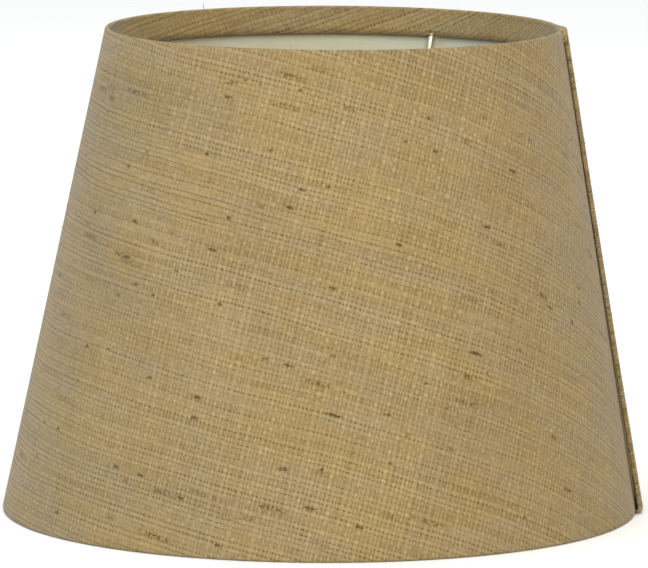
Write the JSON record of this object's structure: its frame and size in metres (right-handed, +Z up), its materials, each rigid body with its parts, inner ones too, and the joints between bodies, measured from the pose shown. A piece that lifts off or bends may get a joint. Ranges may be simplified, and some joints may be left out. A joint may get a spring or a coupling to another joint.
{
  "type": "tapered lamp shade",
  "caption": "Tapered drum lamp shade in slubby woven cloth on a stiff white backing, with wire rings and a dropped spoked fitter.",
  "frame": {"origin": "centre of the circle that the bottom rim stands on, on the shade's axis", "axes": "+Z up the shade's axis from the wide bottom rim to the narrow top rim; +X towards the side seam; -Y towards the viewer"},
  "size_m": [0.2011, 0.1996, 0.1522],
  "materials": {
    "cover_cloth": "golden tan slub weave, matt with a faint sheen on the threads",
    "lining": "off-white, eggshell",
    "tape": "clear double-sided tape",
    "wire": "bright plated wire, slightly yellowed",
    "fitter": "bright plated pressing"
  },
  "bodies": {
    "root": {"fabric_cover": "cover_cloth", "backing_sheet": "lining", "seam_tape": "tape", "top_ring": "wire", "bottom_ring": "wire", "fitter_ring": "fitter", "spoke_1": "wire", "spoke_2": "wire", "spoke_3": "wire"}
  },
  "joints": []
}
